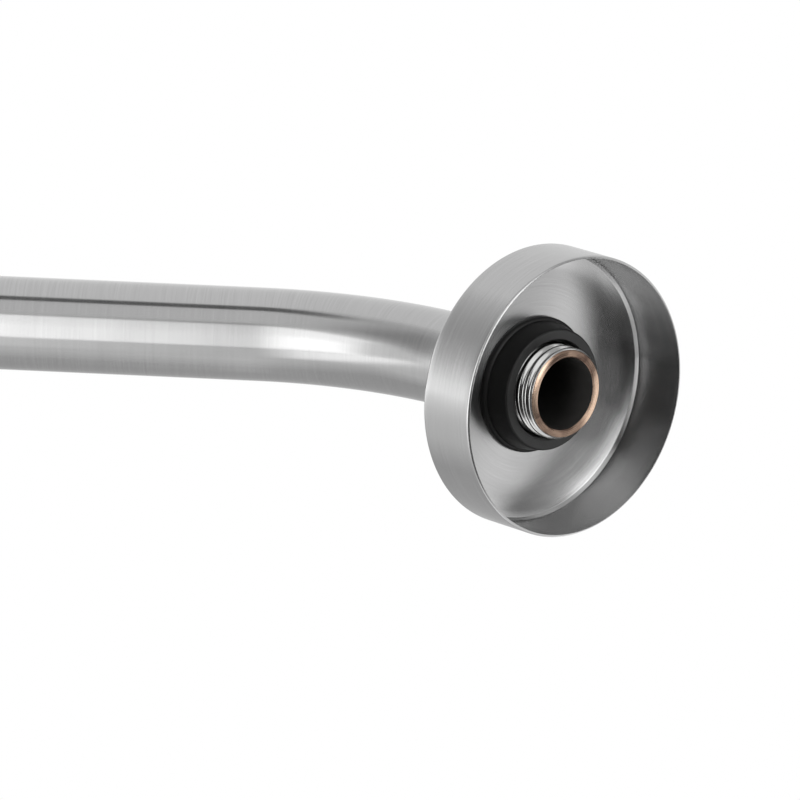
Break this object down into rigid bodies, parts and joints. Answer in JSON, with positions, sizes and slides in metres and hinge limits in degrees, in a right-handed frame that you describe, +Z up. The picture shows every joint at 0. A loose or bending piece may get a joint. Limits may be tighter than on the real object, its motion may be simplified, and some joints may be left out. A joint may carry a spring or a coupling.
{
  "type": "shower arm",
  "caption": "Bent shower arm pipe with a male pipe thread at each end and a cup-shaped wall escutcheon that slides and turns on it on a black rubber grommet.",
  "frame": {"origin": "on the axis of the wall leg, at the outer end of the wall thread's full crests, where the lead-in starts", "axes": "+Y along the wall leg into the wall, +Z up as installed, the head leg slopes down towards -Y and -Z"},
  "size_m": [0.0636, 0.1732, 0.1419],
  "materials": {
    "pipe_nickel": "nickel-plated brass, brushed around the pipe, with bright threads and bare cut ends",
    "cup_nickel": "nickel-plated, spun and brushed in circles",
    "rubber": "moulded black rubber, satin"
  },
  "bodies": {
    "arm": {"arm_pipe": "pipe_nickel"},
    "grommet": {"grommet": "rubber"},
    "escutcheon": {"escutcheon": "cup_nickel"}
  },
  "joints": [
    {"name": "grommet_slide", "type": "slide", "parent": "arm", "child": "grommet", "axis": [0, 1, 0], "range_m": [-0.0155, 0.0037]},
    {"name": "escutcheon_turn", "type": "hinge", "parent": "grommet", "child": "escutcheon", "pos_m": [0, -0.0107, 0], "axis": [0, 1, 0], "continuous": true}
  ]
}
